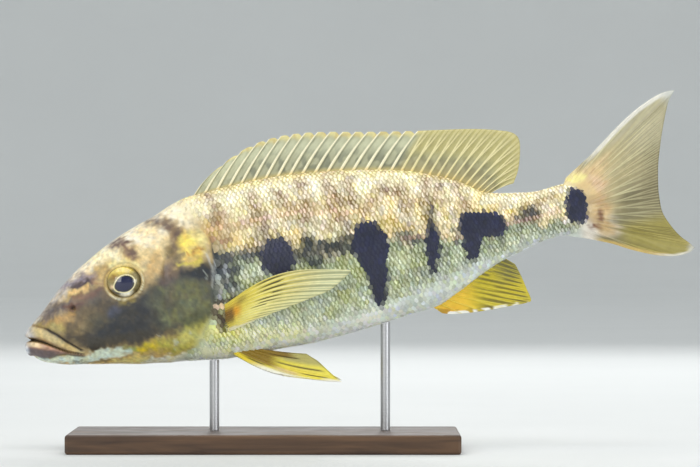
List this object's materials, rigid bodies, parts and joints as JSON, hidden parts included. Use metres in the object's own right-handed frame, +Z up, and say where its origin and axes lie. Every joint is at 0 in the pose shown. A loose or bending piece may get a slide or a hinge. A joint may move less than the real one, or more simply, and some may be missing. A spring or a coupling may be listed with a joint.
{
  "type": "giant cichlid model",
  "caption": "Life-size still model of a giant cichlid, nose down and tail swept aside, held over a plain rectangular base by slim rods under the belly.",
  "frame": {"origin": "centre of the stand base's underside, on the surface that the stand rests on, below the fish's middle", "axes": "+X towards the tail, +Y to the fish's right side and away from its shown left flank, +Z up; the head is at -X and the fish is tipped 14 degrees nose down"},
  "size_m": [0.3462, 0.09, 0.1858],
  "materials": {
    "head_skin": "painted resin in the head's slate, ochre and yellow, satin wet look",
    "jaw_skin": "painted resin, pale green white, satin wet look",
    "lip_skin": "painted resin, ochre grey, satin wet look",
    "gill_cover_skin": "painted resin, slate green with a yellow edge, satin wet look",
    "body_skin": "painted resin scales, cream with blue black blotches, satin wet look",
    "eye": "clear gloss over a dark pupil and a gold ring",
    "fin_skin": "cast resin fins, yellow olive with pale rays, satin",
    "stand_base": "dark stained wood, satin",
    "stand_rod": "brushed stainless steel"
  },
  "bodies": {
    "root": {"head": "head_skin", "lower_jaw": "jaw_skin", "upper_lip": "lip_skin", "lower_lip": "lip_skin", "eye_left": "eye", "eye_right": "eye", "gill_cover_left": "gill_cover_skin", "gill_cover_right": "gill_cover_skin", "trunk": "body_skin", "tail_stalk": "body_skin", "dorsal_fin": "fin_skin", "anal_fin": "fin_skin", "caudal_fin": "fin_skin", "pectoral_fin_left": "fin_skin", "pectoral_fin_right": "fin_skin", "pelvic_fin_left": "fin_skin", "pelvic_fin_right": "fin_skin", "stand_base": "stand_base", "stand_rod_front": "stand_rod", "stand_rod_rear": "stand_rod"}
  },
  "joints": []
}
